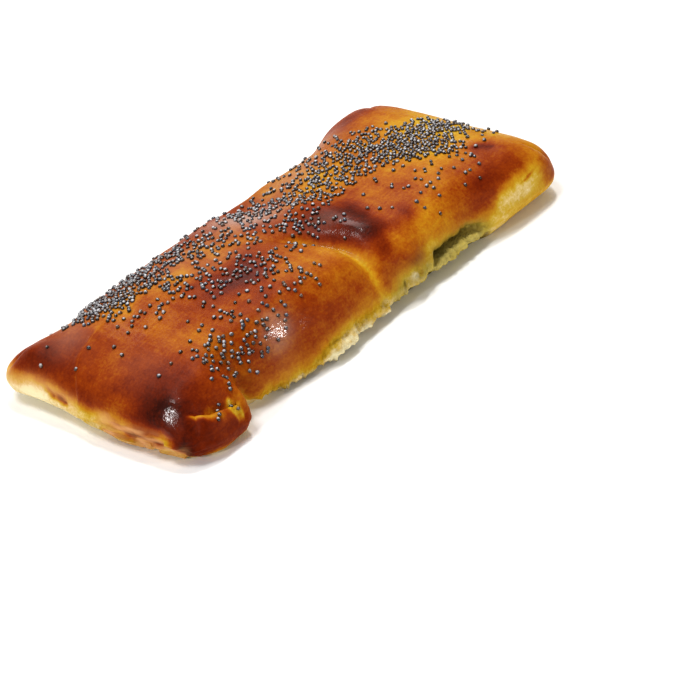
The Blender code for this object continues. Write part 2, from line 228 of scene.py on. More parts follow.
def plateau(value, middle, reach):
    """Like a bump, with a flatter top and steeper flanks."""
    return np.exp(-(((value - middle) / reach) ** 4))


def between(value, ends, soft):
    """1 between the two ends, with soft edges."""
    return ramp(value, ends[0] - soft, ends[0] + soft) * (1.0 - ramp(value, ends[1] - soft, ends[1] + soft))


def mix(start, end, share):
    return start + share * (end - start)


def noise(x, y, z, size, number):
    """Smooth noise from -1 to 1, one for each number. Its lumps are about one size across, on each axis."""
    sizes = size if isinstance(size, tuple) else (size, size, size)
    cells = []
    shares = []
    for axis, (value, span) in enumerate(zip((x, y, z), sizes)):
        place = value / span + NUMBER_STEP * number + AXIS_STEP * axis
        cell = np.floor(place).astype(int)
        share = place - cell
        cells.append(cell)
        shares.append(share * share * (3.0 - 2.0 * share))
    total = 0.0
    for i in (0, 1):
        for j in (0, 1):
            for k in (0, 1):
                weight = 1.0
                for after, share in zip((i, j, k), shares):
                    weight = weight * (share if after else 1.0 - share)
                corner = tuple((cell + step) % LATTICE_SIZE for cell, step in zip(cells, (i, j, k)))
                total = total + weight * LATTICE[corner]
    return total


def shoulder(distance, reach):
    """Rise of the crust from 0 at the rim to 1 at the reach, steepest at the rim."""
    left = 1.0 - np.clip(distance / reach, 0, 1)
    return (1.0 - left**SHOULDER_FULLNESS) ** SHOULDER_STEEPNESS


def jags(x):
    """Uneven teeth along the torn lip, from 0 to 1: two rows of unlike spacing."""
    return sum(share * np.abs(np.sin(pace * x + start)) for pace, start, share in JAG_WAVES)


def corner_radius(x, y):
    left = ramp(y, *CORNER_BLEND_Y)
    return mix(mix(*NEAR_CORNERS, left), mix(*FAR_CORNERS, left), ramp(x, *CORNER_BLEND_X))


def round_corners(x, y):
    """Rounds the corners of a rectangular sheet: each point's new place, and its share of outward push."""
    radius = corner_radius(x, y)
    over_x = np.maximum(np.abs(x) - (LENGTH / 2 - radius), 0.0)
    over_y = np.maximum(np.abs(y) - (WIDTH / 2 - radius), 0.0)
    diagonal = np.maximum(np.hypot(over_x, over_y), 1e-9)
    squeeze = np.maximum(over_x, over_y) / diagonal
    over_x = over_x * squeeze
    over_y = over_y * squeeze
    round_x = np.sign(x) * (np.minimum(np.abs(x), LENGTH / 2 - radius) + over_x)
    round_y = np.sign(y) * (np.minimum(np.abs(y), WIDTH / 2 - radius) + over_y)
    return round_x, round_y, np.sign(x) * over_x / radius, np.sign(y) * over_y / radius


def pull_sides(x, y):
    """Draws the sides in: waists, the notch beside the lobe, the bowed near end, and the skew."""
    to_left = np.clip(y / (WIDTH / 2), 0, 1)
    to_right = np.clip(-y / (WIDTH / 2), 0, 1)
    left = humps(x, LEFT_WAISTS) + LEFT_DRAWN_IN * between(x, *LEFT_DRAWN)
    right = humps(x, RIGHT_WAISTS) + RIGHT_DRAWN_IN * between(x, *RIGHT_DRAWN)
    right = mix(LOBE_DRAWN_IN, right, ramp(x, *LOBE_END))
    right = right + humps(x, NOTCH) * to_right**NOTCH_STEEPNESS
    bow = NEAR_END_BOW * to_right**2 * ramp(-x, BOW_START, LENGTH / 2)
    return x + bow, y - left * to_left + right * to_right + SKEW * x


def on_torn_side(y):
    return ramp(-y, *TORN_SIDE)


def seam_stretch(x):
    """1 along the open seam, ending short at the near end and tapering at the far one."""
    return within(x, SEAM_ENDS)


def rim_height(x, y):
    """Height of the crust's lower edge round the loaf."""
    height = mix(PLAIN_RIM, NEAR_RIM, ramp(-x, *NEAR_RIM_FADE))
    wide = ramp(x, *WIDE_TEAR)
    tear = mix(THIN_RIM, TEAR_RIM, wide)
    height = mix(height, tear, on_torn_side(y) * between(x, TEAR, RIM_SOFTNESS))
    height = height + on_torn_side(y) * humps(x, KNOB_RIM)
    return mix(height, SEAM_RIM, on_torn_side(y) * seam_stretch(x))


def crease_line(y):
    return CREASE_X - CREASE_CURL * (y - CREASE_Y) ** 2


def crown_height(x, y):
    """Height of the crust away from its shoulders: pillows, ridge, crease, dip and fold."""
    pillow = plateau(x, *NEAR_PILLOW[0]) * plateau(y, *NEAR_PILLOW[1])
    ridge = bump(x, *RIDGE) * between(y, *RIDGE_ENDS)
    crease = bump(x, crease_line(y), CREASE_REACH) * ramp(-y, *CREASE_FADE)
    height = CROWN + NEAR_PILLOW_RISE * pillow + RIDGE_RISE * ridge - CREASE_DEPTH * crease
    return height + patches(x, y, DOMES)


def flap_step(x, y):
    """Step of the crust where the flap's edge lies over the near left corner."""
    past_edge = x - FLAP_X + FLAP_LEAN * (y - FLAP_Y)
    flap = ramp(past_edge, -FLAP_EDGE, FLAP_EDGE) * before(past_edge, FLAP_FADE)
    return FLAP_STEP * flap * ramp(y, FLAP_Y - FLAP_TAPER, FLAP_Y)


def past_cleft(x, y):
    """How far a place lies on the crust's side of the cleft; less than 0 on the lobe."""
    return y - CLEFT_Y + CLEFT_LEAN * (x - CLEFT_START_X)


def lobe_stretch(x):
    """1 along the lobe and its cleft, fading at both ends."""
    return within(x, CLEFT_ENDS)


def part_lobe(x, y, top, to_side):
    """Draws the crust down to the cleft, and rounds the lobe that lies beyond it."""
    past = past_cleft(x, y)
    crust = mix(CLEFT_HEIGHT, top, shoulder(np.maximum(past, 0.0), CLEFT_SHOULDER))
    lobe = mix(LOBE_RIM, LOBE_HEIGHT, shoulder(to_side, LOBE_SHOULDER))
    lobe = lobe - humps(past, CLEFT)
    parted = np.minimum(mix(lobe, crust, ramp(past, *CLEFT_STEP)), top)
    return mix(top, parted, lobe_stretch(x) * before(y, LOBE_FADE))


def base_tuck(x, y):
    """How far the foot of the side is tucked in under the loaf."""
    tuck = BASE_TUCK
    for depth, along, across in CORNER_TUCKS:
        tuck = tuck + depth * ramp(x, *along) * ramp(y, *across)
    return tuck


def torn_profile(x, height_share):
    """The ragged lip, which hangs or stands out in places, and the hollow beneath it."""
    hanging = within(x, HANGING_LIP)
    high = between(x, *HIGH_LIP)
    lip_edge = mix(UNDERCUT_SHARE, HANGING_SHARE, hanging) + JAG_SHARE * jags(x)
    under = 1.0 - ramp(height_share, lip_edge - UNDERCUT_SOFTNESS, lip_edge + UNDERCUT_SOFTNESS)
    lip = (HANGING_LIP_OUT * hanging + HIGH_LIP_OUT * high) * bump(height_share, *LIP_UP)
    return lip - UNDERCUT * under


def seam_profile(height_share):
    """The open seam, with a lip of crumb below it and a hollow below that."""
    lower_lip = humps(height_share, LOWER_LIP)
    opened = lower_lip - SEAM_DEPTH * plateau(height_share, *SEAM_UP)
    return opened - UNDERCUT * before(height_share, SEAM_UNDERCUT)


def side_profile(x, y, height_share):
    """How far the side stands out of the outline at each share of the rim's height."""
    bulge = SIDE_BULGE * 4.0 * height_share * (1.0 - height_share)
    plain = bulge - base_tuck(x, y) * (1.0 - height_share) ** 2
    torn = on_torn_side(y)
    knob = KNOB_OUT * bump(x, *KNOB) * bump(height_share, *KNOB_UP)
    out = mix(plain, torn_profile(x, height_share), torn * between(x, TEAR, TEAR_SOFTNESS))
    out = mix(out, seam_profile(height_share), torn * seam_stretch(x))
    return out + torn * knob


def loaf_form(u, v, w):
    """Turns points on a cube of half size 1 into points of the loaf, in millimetres."""
    sheet_x = LENGTH / 2 * mix(u, np.sin(u * math.pi / 2), EDGE_EASE)
    sheet_y = WIDTH / 2 * mix(v, np.sin(v * math.pi / 2), EDGE_EASE)
    end_shoulder = mix(*END_SHOULDERS, ramp(-sheet_x, *SHOULDER_BLEND_X))
    side_shoulder = mix(*SIDE_SHOULDERS, ramp(sheet_y, *SHOULDER_BLEND_Y))
    rise = shoulder(LENGTH / 2 - np.abs(sheet_x), end_shoulder)
    rise = rise * shoulder(WIDTH / 2 - np.abs(sheet_y), side_shoulder)
    round_x, round_y, out_x, out_y = round_corners(sheet_x, sheet_y)
    x, y = pull_sides(round_x, round_y)
    top = mix(rim_height(x, y), crown_height(x, y), rise) + flap_step(x, y) * rise**0.5
    top = part_lobe(x, y, top, WIDTH / 2 - np.abs(sheet_y))
    height_share = (w + 1.0) / 2.0
    out = side_profile(x, y, height_share)
    return x + out * out_x, y + out * out_y, top * height_share


# Browning of the crust, from 0 for raw crumb to 1 for burnt. Patches: amount, middle, reach, turn in degrees
BAKE_ON_TOP = 0.56
BAKE_PATCHES = (
    (0.18, -76, 5, 9, 30), (0.26, -73.2, -19, 6.5, 8),
    (-0.12, -76, -5, 2.5, 5), (0.12, -64, -14, 9, 10),
    (-0.10, -70, 4, 3.5, 5, 20), (0.21, -73, 25.5, 5.5, 6),
    (-0.14, -75.5, 14, 2.5, 3.6), (0.15, -49, 10, 5, 3),
    (0.10, -65, 17.5, 5, 4), (-0.10, -54, -9, 6, 8),
    (-0.06, -50, -12, 3, 5), (-0.15, -46, 15, 13, 6, -15),
    (-0.07, -42, 8, 10, 4, -25), (-0.16, -32, 11, 4, 3.2),
    (-0.10, -22, 14, 12, 6, -10), (0.12, -34, 1.5, 5, 3, -10),
    (0.28, -30, -7, 8, 4.5, -20), (0.20, -22, -4, 4, 5, -35),
    (0.09, -31, -16.5, 6, 8), (-0.08, -18, 6, 9, 5),
    (-0.08, -14, -16, 8, 7), (-0.14, -4, -20, 3.5, 6, 15),
    (-0.05, -12, -26, 11, 3), (0.20, 20.5, -23, 3.8, 3.4),
    (0.14, 28, -17, 9, 9), (0.29, 15, -11, 4.5, 5),
    (-0.07, 44, -8, 5, 9, 8), (-0.12, 27, -28, 6, 4),
    (-0.10, 10, -29, 8, 3), (0.16, 5, -28, 2.6, 2.6),
    (0.30, 50, -31, 13, 5.5, -7), (0.08, 49, -23, 8, 5),
    (0.22, 60, -22.5, 6, 5, 20), (0.20, 57.5, -20.5, 1.5, 1.2),
    (0.16, 61, -24.5, 1.3, 1.3), (-0.09, 53, -8, 12, 9, 30),
    (-0.16, 69, -12, 8, 12), (-0.10, 68, 3, 8, 7, 30),
    (0.24, 60, 24, 15, 7), (-0.08, 60, 4, 9, 9),
    (0.10, 58.5, -20.5, 4, 3), (0.14, 61, -22, 3.5, 2.5, 10),
    (0.06, -46, -24, 7, 4), (-0.04, 25, 8, 14, 5),
    (-0.14, 17, 19, 3, 2.5), (0.15, 23, -3.5, 8, 5), (0.06, 2, 14, 10, 6),
)
FAR_PALER = 0.14
FAR_PALER_FADE = (8, 22)
MAHOGANY = ((0.30, 6, -13, 6, 11.5, 18), (0.10, 6, -20, 4, 4))
MAHOGANY_EDGE = 0.8
PAST_CREASE = (0.6, 2.8)

# Places where the glaze lies thick and shines, and places with a painted sheen: a greyish reflection of the
# pale studio, painted into the colour
GLOSS_PATCHES = (
    (0.52, -74.1, -19.5, 3.8, 1.4),
    (0.55, -35.6, -24.8, 5.2, 2.4, 12),
    (0.25, -31, -23, 5, 2.2, 12),
    (0.7, 4, -15, 6, 4),
    (0.12, -29, -5, 9, 5, -20),
    (0.15, -60, 6, 12, 8),
    (0.3, 64, -12, 10, 10),
)
# Painted sheen: patches of greyish reflection painted into the colour, as amount, middle, reach and turn
PAINTED_SHEEN_PATCHES = (
    (0.20, -65, 21, 6, 5, -20),
    (0.07, -66, -4, 6, 10),
    (0.32, -36.5, -24.3, 5, 2.2, 12),
    (0.95, -1, 14.5, 10, 5.5, -20),
    (0.12, 5.5, -7.5, 3.5, 4),
    (0.30, 25, 18, 14, 5, -6),
    (0.30, 45, 24, 9, 4),
    (0.20, -30, 15, 16, 5, -12),
    (0.10, -24, 4, 12, 4, -15),
)
PAINTED_SHEEN_FOOT = (9, 13)

# Unevenness of the crust: rows of amount, size and number of a noise
WARP_ALONG = ((2.2, 9, 1), (0.9, 3.5, 2))
WARP_ACROSS = ((2.2, 9, 3), (0.9, 3.5, 4))
TOP_UNEVEN = ((0.05, 16, 5), (0.03, 6, 6))
# Wobble of the painted sheen's edges
PAINTED_SHEEN_ALONG = ((1.6, 6, 20),)
PAINTED_SHEEN_ACROSS = ((1.6, 6, 21),)

# Pale crease: bands as amount, place past its line and reach, and the stretch that they take up
CREASE_PALER = 0.18
CREASE_BANDS = ((0.6, -0.2, 1.1), (0.5, 1, 2.2))
CREASE_STRETCH = ((-31, -3), 2)

# Pale groove under the cleft: how far below it its two edges lie, from its near end on, and where it ends
GROOVE_BAKE = 0.33
GROOVE_SHARE = 0.95
GROOVE_WOBBLE = ((0.3, 2, 34),)
GROOVE_UPPER = (0.6, -0.8)
GROOVE_UPPER_FADE = (-70.5, -65.5)
GROOVE_SOFTNESS = 0.8
GROOVE_LOWER = (1, 2.2)
GROOVE_LOWER_FADE = (-72.5, -67)
GROOVE_LOWER_FALL = 2.2
GROOVE_START = (-72.8, -70.8)
GROOVE_FOOT = (6.4, 8)
GROOVE_THINS_BY = 0.85
GROOVE_THINS = (-65.5, -63)
GROOVE_END = (-57, -55)

# Darker crust of the lobe, and the torn flap at its end
LOBE_DARKER = 0.15
DARK_BELOW = (-3.4, -1.6)
DARK_END = (56, 59)
DARK_LEFT = (-20, -16)
TORN_FLAP = (-60.5, -28, 2.2, 1.6, -60)
TORN_FLAP_WOBBLE = ((0.12, 1.4, 36),)
TORN_FLAP_EDGE = (0.30, 0.50)
TORN_FLAP_FOOT = (5, 6.5)
TORN_FLAP_BAKE = 0.30
TORN_FLAP_FIBRES = ((0.18, (1, 1, 3), 35),)
TORN_FLAP_CRUMB = 0.5
TORN_FLAP_RISE = 0.2

# Thin curved fold on the near end: its line, and the crust to the left of it
NEAR_END = (70, 73.5)
FOLD_Y = 14.5
FOLD_CURL = 0.042
FOLD_CURL_FROM = -66
FOLD_CURL_REACH = 20
FOLD_LINE_REACH = 0.45
FOLD_LINE_END = (-62, -55)
FOLD_LINE_PALER = 0.07
LEFT_DARKER = 0.03
LEFT_OF_FOLD = ((0, 0.4), (2, 9), (58, 66))

# Height at which the pale side turns brown: steps as height, start and end; dips and humps as height,
# middle and reach
PALE_FAR = 7.5
PALE_NEAR = 7.6
NEAR_TO_LEFT = ((1.6, 12, 22), (-1.4, 26, 31))
NEAR_TO_RIGHT = ((-0.3, -2, 6), (-4, 17, 26))
NEAR_DIPS = ((-0.9, 4, 5),)
PALE_NEAR_FADE = (40, 70)
PALE_FAR_RIGHT = 12.9
PALE_RIGHT = ((7.2, -52, -41), (4.4, -20, -14))
RIGHT_HUMPS = ((1.4, 11.5, 5.6), (0.8, -12, 13))
PALE_NEAR_RIGHT = ((2.7, 22, 34), (0.6, 54, 58))
PALE_RIGHT_FADE = (21, 25)

# Change from pale to brown about that height, and the golden line beside it on the torn side
BROWN_WOBBLE = ((0.9, 6, 7), (0.5, 2.2, 8))
BROWN_FROM = 2
BROWN_TO = 3.2
BROWN_TO_SLOW = 3
SLOW_BROWN = ((-30, 36), 8)
GOLDEN_LINE_BAKE = 0.27
GOLDEN_LINE = ((0.55, 1.8, 1.5),)

# Pale side: its own browning, the far wall's, and the near end's
SIDE_BAKE = 0.07
SIDE_UNEVEN = ((0.05, 5, 9), (0.06, (4, 4, 1), 10))
FAR_WALL_BROWNER = 0.11
FAR_WALL_EVENER = 0.7
FAR_WALL_ALONG = (40, 50)
FAR_WALL_ACROSS = (20, 26)
NEAR_LEFT_PALER = 0.03
NEAR_LEFT = (6, 12)
NEAR_GOLDEN = 0.14
GOLDEN_STRETCH = ((-22, 10), 5)
GOLDEN_FOOT = (2, 5.5)

# Tan, flaking band low on the near end: where it lies, its browning, and its share of tan
BAND_TOP = 6.8
BAND_WOBBLE = ((1.1, 4, 27),)
BAND_FALL = 2.4
BAND_FALL_FADE = (12, 20)
BAND_SOFTNESS = 1.6
BAND_FOOT = (0.5, 1.3)
BAND_LEFT = (-5, 3)
BAND_RIGHT = (22, 26)
BAND_BAKE = 0.18
BAND_LAYERS = ((0.26, (6, 6, 0.7), 26),)
BAND_FLECKS = ((1, (3, 3, 1.2), 18),)
BAND_FLECK_EDGE = (0.30, 0.70)
BAND_FLECK_BAKE = 0.24
BAND_TAN = 0.55
BAND_TAN_UNEVEN = ((0.6, (3, 3, 0.9), 22),)
TAN_LINE = ((0.5, -0.2, 1.8),)
TAN_LINE_START = (8, 12)

# Burnt slit low on the near end: its middle in y and z, reach, lean, and depth
SLIT = (16.8, 7.2)
SLIT_REACH = (3.6, 0.95)
SLIT_LEAN = 0.20
SLIT_WOBBLE = ((0.5, 2, 19),)
SLIT_SHARE = 0.8
SLIT_UNEVEN = ((0.4, 1.2, 28),)
SLIT_BAKE = 0.72
SLIT_DEPTH = 1

# Far wall: its golden lower edge, the crack above it, and the browned corner
FAR_SIDE = (24, 28)
FAR_FOOT_BROWNER = 0.10
FAR_FOOT_ALONG = (46, 53)
FAR_FOOT_TOP = (6.5, 9.5)
FAR_CRACK = ((0.30, 60.5, 12, 3, 0.35, 8),)
CORNER_BROWNER = 0.36
CORNER_ALONG = (63, 70)
CORNER_ACROSS = (20, 30)
CORNER_UP = ((4, 8), (11, 15))

# Torn crumb: its height and browning, and patches of the torn side as amount, middle in x and z, reach
TORN_SOFTNESS = 3
CRUMB_DROP = 0.5
CRUMB_WOBBLE = ((0.6, 2.5, 23),)
CRUMB_SOFTNESS = 1.8
CRUMB_BAKE = 0.02
CRUMB_UNEVEN = ((0.10, (5, 5, 2), 25), (0.06, (0.9, 0.9, 3), 31))
TORN_PATCHES = (
    (-0.10, -20, 3, 7, 3),
    (0.10, -10.5, 6, 4, 1.8),
    (0.18, 4.5, 7, 4, 1.8),
    # This row and the spot below, kept free of the sallow tint, paint a highlight on the pale knob
    (-0.14, 9.8, 7.9, 1.5, 1.1),
    (0.32, 12, 7.6, 0.8, 0.8),
)
# Painted highlight: a whiter spot on the knob, kept free of the sallow tint
PAINTED_GLINT_SPOT = (9.8, 7.9, 1.6, 1.2)
SALLOW_SHARE = 0.85
SALLOW_STRETCH = ((2, 44), 4)

# Pale knob of crumb, the thin fold beside it, and the crumb of the open seam
PALE_KNOB = (8.3, 6, 4.4, 3.3)
KNOB_BAKE = 0.05
KNOB_SPREAD = 1.5
KNOB_LESS_SALLOW = 0.6
KNOB_CRUMB = (5, 4)
SEAM_FOLD_BAKE = 0.20
SEAM_FOLD = ((0.8, 18.4, 0.9),)
SEAM_FOLD_UP = ((4.5, 10), 1)
SEAM_FOLD_RISE = 0.7
SEAM_CRUMB_TOP = (8.2, 9.2)

# Painted shade of dark olive: in the hollow of the seam, over and under it, in the knob's hatching, and in a
# patch over the knob
UNDER_CRUST = 2
HOLLOW_HEIGHT = 7.6
HOLLOW_WOBBLE = ((0.5, 3, 24),)
HOLLOW_REACH = 1.3
HOLLOW_FAR_BY = 0.5
HOLLOW_FAR = (25, 31)
SHADE = ((0.22, 1.2, 1.6),)
SHADE_STRETCH = ((4, 36), 3)
UNDER_LIP_SHADE_SHARE = 0.8
UNDER_LIP_SHADE = (0.8, 2.4)
HATCH_SHARE = 0.50
HATCH_LINES = ((1, (0.8, 0.8, 2.6), 32),)
HATCH_EDGE = (0.10, 0.60)
OLIVE_SHADE_PATCH = ((0.30, 13.5, 10.5, 5.5, 2.2),)

# Relief, in millimetres
LUMPS = ((0.50, 14, 11), (0.20, 6, 12), (0.03, 2, 13))
FIBRES = ((0.50, (1.4, 1.4, 4), 14), (0.35, (0.8, 0.8, 1.6), 15))
TEETH = ((1, (0.9, 3, 3), 30),)
TEETH_HEIGHT = 0.9
TEETH_DROP = 0.3
LOW_SIDE = (5, 8)
LOW_SIDE_FOOT = (0.3, 1.2)
LAYERS = ((0.35, (10, 10, 1.2), 16),)
FLAKES = ((1, (4, 4, 0.8), 17),)
FLAKE_EDGE = (0, 0.25)
FLAKE_RISE = 0.8
FLAKE_STRETCH = ((-27, 8), 3)
FOLD_FOOT = (7, 9)
FOLD_LINE_DEPTH = 0.30
FOLD_STEP_DEPTH = 0.35
FOLD_STEP = ((-0.2, 0.3), (0.3, 5), (56, 64))
PLEATS = ((0.55, (1.1, 1.1, 6), 33),)
BASE_FREE = (0, 1.2)


def waves(x, y, z, rows):
    """Sum of noises, given as rows of amount, size and number."""
    return sum(amount * noise(x, y, z, size, number) for amount, size, number in rows)


def steps(value, rows):
    """Sum of ramps, given as rows of height, start and end."""
    return sum(height * ramp(value, low, high) for height, low, high in rows)


def stepped(level, value, rows):
    """A level that goes over to each row's height in turn, from its start to its end."""
    for height, low, high in rows:
        level = mix(level, height, ramp(value, low, high))
    return level


def past_fold(x, y):
    """How far a place lies to the left of the thin curved fold on the near end."""
    return y - FOLD_Y + FOLD_CURL * np.clip(FOLD_CURL_FROM - x, 0.0, FOLD_CURL_REACH) ** 2


def fold_line(x, y):
    return bump(past_fold(x, y), 0.0, FOLD_LINE_REACH) * before(x, FOLD_LINE_END)


def left_of_fold(x, y, fades):
    """A strip along the fold's left side: two fades across it, and one along the loaf."""
    return within(past_fold(x, y), fades) * ramp(-x, *fades[2])


def on_near_end(x):
    return ramp(-x, *NEAR_END)


def crease_of(x, y):
    """The pale lines along the crease."""
    return humps(x - crease_line(y), CREASE_BANDS) * between(y, *CREASE_STRETCH)


def groove_of(x, y, z):
    """The pale groove between the crust and the lobe."""
    below = waves(x, y, z, GROOVE_WOBBLE) - past_cleft(x, y)
    upper = mix(*GROOVE_UPPER, ramp(x, *GROOVE_UPPER_FADE))
    lower = mix(*GROOVE_LOWER, ramp(x, *GROOVE_LOWER_FADE))
    across = ramp(below, upper, upper + GROOVE_SOFTNESS)
    across = across * before(below, (lower, GROOVE_LOWER_FALL * lower))
    along = within(x, (GROOVE_START, GROOVE_END)) * (1.0 - GROOVE_THINS_BY * ramp(x, *GROOVE_THINS))
    return across * along * ramp(z, *GROOVE_FOOT)


def lobe_of(x, y):
    """The lobe, away from its groove."""
    return before(past_cleft(x, y), DARK_BELOW) * ramp(-x, *DARK_END) * before(y, DARK_LEFT)


def flap_of(x, y, z):
    """The small torn flap at the end of the lobe."""
    ragged = patch(x, y, *TORN_FLAP) + waves(x, y, 0.0 * x, TORN_FLAP_WOBBLE)
    return ramp(ragged, *TORN_FLAP_EDGE) * ramp(z, *TORN_FLAP_FOOT)


def top_bake(x, y, z):
    """Browning of the glazed crust."""
    warp_x = x + waves(x, y, z, WARP_ALONG)
    warp_y = y + waves(x, y, z, WARP_ACROSS)
    bake = BAKE_ON_TOP - FAR_PALER * ramp(warp_x, *FAR_PALER_FADE) + waves(x, y, z, TOP_UNEVEN)
    bake = bake + patches(warp_x, warp_y, BAKE_PATCHES)
    past_crease = ramp(x - crease_line(y), *PAST_CREASE)
    for amount, *place in MAHOGANY:
        bake = bake + amount * plateau(patch(warp_x, warp_y, *place), 1.0, MAHOGANY_EDGE) * past_crease
    bake = bake - CREASE_PALER * crease_of(x, y) + LOBE_DARKER * lobe_of(x, y)
    bake = bake + LEFT_DARKER * left_of_fold(x, y, LEFT_OF_FOLD) - FOLD_LINE_PALER * fold_line(x, y)
    bake = mix(bake, GROOVE_BAKE, GROOVE_SHARE * groove_of(x, y, z))
    return mix(bake, TORN_FLAP_BAKE + waves(x, y, z, TORN_FLAP_FIBRES), flap_of(x, y, z))


def pale_line(x, y):
    """Height at which the pale side turns brown, all round the loaf."""
    near = PALE_NEAR + steps(y, NEAR_TO_LEFT) + steps(-y, NEAR_TO_RIGHT) + humps(y, NEAR_DIPS)
    right = stepped(PALE_FAR_RIGHT, -x, PALE_RIGHT) + humps(x, RIGHT_HUMPS)
    right = stepped(right, -x, PALE_NEAR_RIGHT)
    return mix(mix(PALE_FAR, near, ramp(-x, *PALE_NEAR_FADE)), right, ramp(-y, *PALE_RIGHT_FADE))


def torn_stretch(x):
    return between(x, TEAR, TORN_SOFTNESS)


def side_bake(x, y, z):
    """Browning of the pale side, of its flaking band and of its torn crumb."""
    far_wall = ramp(x, *FAR_WALL_ALONG) * ramp(-y, *FAR_WALL_ACROSS)
    side = SIDE_BAKE + FAR_WALL_BROWNER * far_wall
    side = side + waves(x, y, z, SIDE_UNEVEN) * (1.0 - FAR_WALL_EVENER * far_wall)
    golden = between(y, *GOLDEN_STRETCH) * ramp(z, *GOLDEN_FOOT)
    side = side + on_near_end(x) * (NEAR_GOLDEN * golden - NEAR_LEFT_PALER * ramp(y, *NEAR_LEFT))
    flecks = BAND_FLECK_BAKE * ramp(waves(x, y, z, BAND_FLECKS), *BAND_FLECK_EDGE)
    side = side + flaky_band(x, y, z) * (BAND_BAKE + waves(x, y, z, BAND_LAYERS) + flecks)
    return side + on_torn_side(y) * torn_stretch(x) * (CRUMB_BAKE + waves(x, y, z, CRUMB_UNEVEN))


def bake_of(x, y, z):
    """Browning everywhere, from 0 for raw crumb to 1 for burnt."""
    torn = on_torn_side(y) * torn_stretch(x)
    line = pale_line(x, y)
    height = z + waves(x, y, z, BROWN_WOBBLE)
    slow = on_torn_side(y) * between(x, *SLOW_BROWN)
    brown = ramp(height, line - BROWN_FROM, line + BROWN_TO + BROWN_TO_SLOW * slow)
    bake = mix(side_bake(x, y, z), top_bake(x, y, z), brown) + SLIT_BAKE * slit_of(x, y, z)
    bake = mix(bake, GOLDEN_LINE_BAKE, torn * humps(height - line, GOLDEN_LINE)) + far_edge(x, y, z)
    bake = mix(bake, KNOB_BAKE, np.clip(KNOB_SPREAD * knob_of(x, y, z), 0, 1))
    bake = mix(bake, SEAM_FOLD_BAKE, seam_fold(x, y, z))
    return np.clip(bake + torn * patches(x, z, TORN_PATCHES), 0, 1)


def knob_of(x, y, z):
    """The knob of pale crumb that stands out of the torn side."""
    return on_torn_side(y) * patch(x, z, *PALE_KNOB)


def seam_fold(x, y, z):
    """The thin pale fold that closes the open seam at its near end."""
    return humps(x, SEAM_FOLD) * between(z, *SEAM_FOLD_UP) * on_torn_side(y)


def flaky_band(x, y, z):
    """The tan, flaking band low on the near end, above a thin pale edge."""
    top = BAND_TOP + waves(x, y, z, BAND_WOBBLE) - BAND_FALL * ramp(-y, *BAND_FALL_FADE)
    up = within(z, (BAND_FOOT, (top, top + BAND_SOFTNESS)))
    return on_near_end(x) * within(-y, (BAND_LEFT, BAND_RIGHT)) * up


def far_edge(x, y, z):
    """The golden lower edge of the far wall, its crack, and the browned far corner."""
    lower = ramp(x, *FAR_FOOT_ALONG) * before(z, FAR_FOOT_TOP)
    corner = ramp(x, *CORNER_ALONG) * ramp(-y, *CORNER_ACROSS) * within(z, CORNER_UP)
    wall = FAR_FOOT_BROWNER * lower + patches(x, z, FAR_CRACK)
    return ramp(-y, *FAR_SIDE) * wall + CORNER_BROWNER * corner


def slit_of(x, y, z):
    """The burnt slit low on the near end."""
    along = (y - SLIT[0]) / SLIT_REACH[0]
    across = (z - SLIT[1] - SLIT_LEAN * (y - SLIT[0]) + waves(x, y, z, SLIT_WOBBLE)) / SLIT_REACH[1]
    return on_near_end(x) * np.exp(-(along**4) - across**2) * (SLIT_SHARE + waves(x, y, z, SLIT_UNEVEN))


def rim_of(x, y, z):
    """Where the crust is tan, low on the near end."""
    flaky = flaky_band(x, y, z) * (BAND_TAN + waves(x, y, z, BAND_TAN_UNEVEN))
    line = humps(z - pale_line(x, y), TAN_LINE) * on_near_end(x) * ramp(y, *TAN_LINE_START)
    return np.clip(flaky + line, 0, 1)


def painted_sheen_of(x, y, z):
    """Where a painted sheen greys the glaze: a greyish reflection of the pale studio, painted into the
    colour.
    """
    painted_sheen = patches(x + waves(x, y, z, PAINTED_SHEEN_ALONG), y + waves(x, y, z, PAINTED_SHEEN_ACROSS), PAINTED_SHEEN_PATCHES)
    return np.clip(painted_sheen * ramp(z, *PAINTED_SHEEN_FOOT), 0, 1)


def painted_shade_of(x, y, z):
    """Painted shade of dark olive: in the hollow under the crust of the torn side, over and under it, and in
    the knob's hatching.
    """
    under_crust = on_torn_side(y + UNDER_CRUST)
    hollow = bump(z, HOLLOW_HEIGHT + waves(x, y, z, HOLLOW_WOBBLE), HOLLOW_REACH)
    hollow = hollow * seam_stretch(x) * mix(1.0, HOLLOW_FAR_BY, ramp(x, *HOLLOW_FAR))
    # Painted shade at the foot, under the torn lip
    under = UNDER_LIP_SHADE_SHARE * torn_stretch(x) * before(z, UNDER_LIP_SHADE)
    shaded = humps(z - pale_line(x, y), SHADE) * between(x, *SHADE_STRETCH)
    hatch = HATCH_SHARE * knob_of(x, y, z) * ramp(waves(x, y, z, HATCH_LINES), *HATCH_EDGE)
    shaded = shaded + patches(x, z, OLIVE_SHADE_PATCH)
    return np.clip(under_crust * (hollow + under) + hatch + on_torn_side(y) * shaded, 0, 1)


def sallow_of(x, y, z):
    """Where the torn crumb is greenish yellow."""
    torn = on_torn_side(y) * between(x, *SALLOW_STRETCH) * crumb_of(x, y, z)
    # The painted highlight on the knob stays free of the sallow tint
    pale = (1.0 - patch(x, z, *PAINTED_GLINT_SPOT)) * (1.0 - KNOB_LESS_SALLOW * knob_of(x, y, z))
    return np.clip(SALLOW_SHARE * torn * pale, 0, 1)


def gloss_of(x, y, z):
    """Where the glaze lies thick."""
    return np.clip(patches(x, y, GLOSS_PATCHES), 0, 1)


